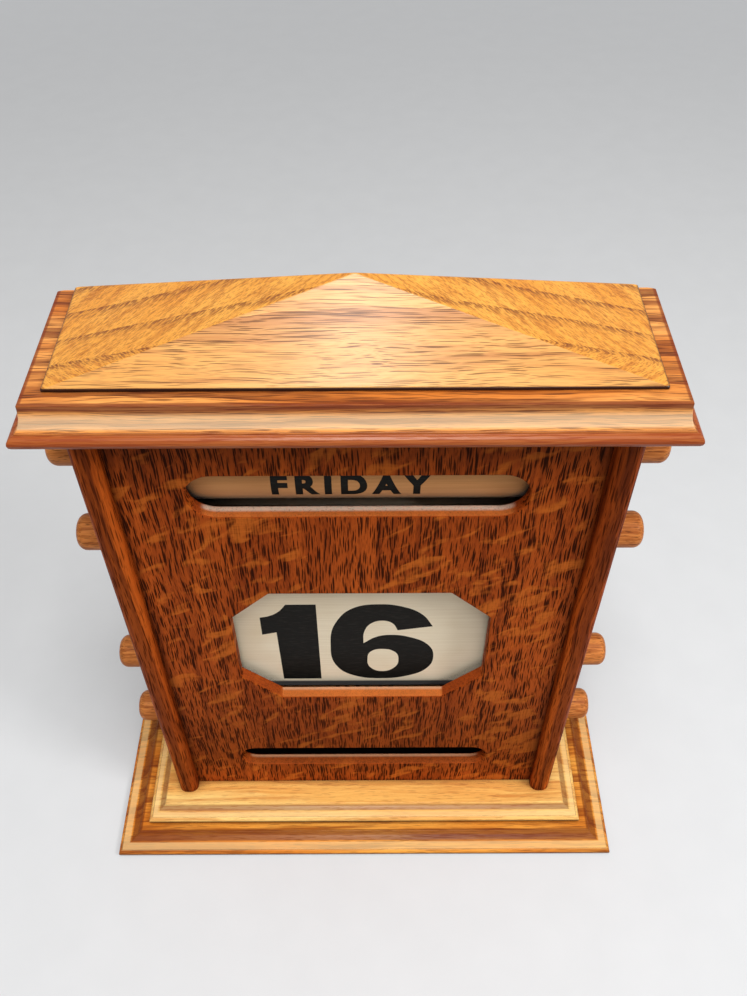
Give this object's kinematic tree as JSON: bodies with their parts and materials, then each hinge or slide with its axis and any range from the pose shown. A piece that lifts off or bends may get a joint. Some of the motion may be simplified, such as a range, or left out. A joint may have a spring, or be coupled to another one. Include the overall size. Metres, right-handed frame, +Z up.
{
  "type": "perpetual desk calendar",
  "caption": "Wooden perpetual desk calendar with a day slot, a date window and a month slot, and side knobs that turn its drums and wind its date scroll.",
  "frame": {"origin": "middle of the underside of the base", "axes": "+Z up, +Y to the flush back, +X to the right as seen from the front"},
  "size_m": [0.26, 0.09, 0.3228],
  "materials": {
    "base_oak": "golden oak, satin varnish",
    "side_oak": "red-brown oak, satin varnish",
    "panel_oak": "quarter-sawn red-brown oak, satin varnish",
    "back_oak": "oak, thin varnish",
    "cornice_oak": "orange-brown oak, satin varnish",
    "roof_oak": "golden oak, gloss varnish",
    "knob_wood": "turned hardwood, satin",
    "roller_wood": "turned, bare",
    "axle_wood": "dowel, bare",
    "cloth": "off-white linen printed in black",
    "screw_brass": "plain"
  },
  "bodies": {
    "case": {"lower_plinth": "base_oak", "upper_plinth": "base_oak", "left_side": "side_oak", "right_side": "side_oak", "front_panel": "panel_oak", "back_board": "back_oak", "cornice": "cornice_oak", "roof_cap": "roof_oak", "date_scroll_span": "cloth", "back_screw_1": "screw_brass", "back_screw_2": "screw_brass", "back_screw_3": "screw_brass", "back_screw_4": "screw_brass", "back_screw_5": "screw_brass", "back_screw_6": "screw_brass", "base_screw_1": "screw_brass", "base_screw_2": "screw_brass", "base_screw_3": "screw_brass", "base_screw_4": "screw_brass", "cornice_screw_1": "screw_brass", "cornice_screw_2": "screw_brass", "cornice_screw_3": "screw_brass", "cornice_screw_4": "screw_brass"},
    "day_turner": {"day_drum": "roller_wood", "day_label": "cloth", "day_axle": "axle_wood", "day_knob_left": "knob_wood", "day_knob_right": "knob_wood"},
    "upper_date_turner": {"upper_date_roller": "roller_wood", "upper_date_coil": "cloth", "upper_date_axle": "axle_wood", "upper_date_knob_left": "knob_wood", "upper_date_knob_right": "knob_wood"},
    "lower_date_turner": {"lower_date_roller": "roller_wood", "lower_date_coil": "cloth", "lower_date_axle": "axle_wood", "lower_date_knob_left": "knob_wood", "lower_date_knob_right": "knob_wood"},
    "month_turner": {"month_drum": "roller_wood", "month_label": "cloth", "month_axle": "axle_wood", "month_knob_left": "knob_wood", "month_knob_right": "knob_wood"}
  },
  "joints": [
    {"name": "day_turn", "type": "hinge", "parent": "case", "child": "day_turner", "pos_m": [0, 0.019, 0.2425], "axis": [1, 0, 0], "continuous": true},
    {"name": "upper_date_turn", "type": "hinge", "parent": "case", "child": "upper_date_turner", "pos_m": [0, 0.019, 0.19075], "axis": [1, 0, 0], "range_deg": [-4140, 4140]},
    {"name": "lower_date_turn", "type": "hinge", "parent": "case", "child": "lower_date_turner", "pos_m": [0, 0.019, 0.09875], "axis": [1, 0, 0], "range_deg": [-4140, 4140]},
    {"name": "month_turn", "type": "hinge", "parent": "case", "child": "month_turner", "pos_m": [0, 0.019, 0.046], "axis": [1, 0, 0], "continuous": true}
  ],
  "couplings": [
    {"joint": "lower_date_turn", "follows": "upper_date_turn", "ratio": 1}
  ]
}
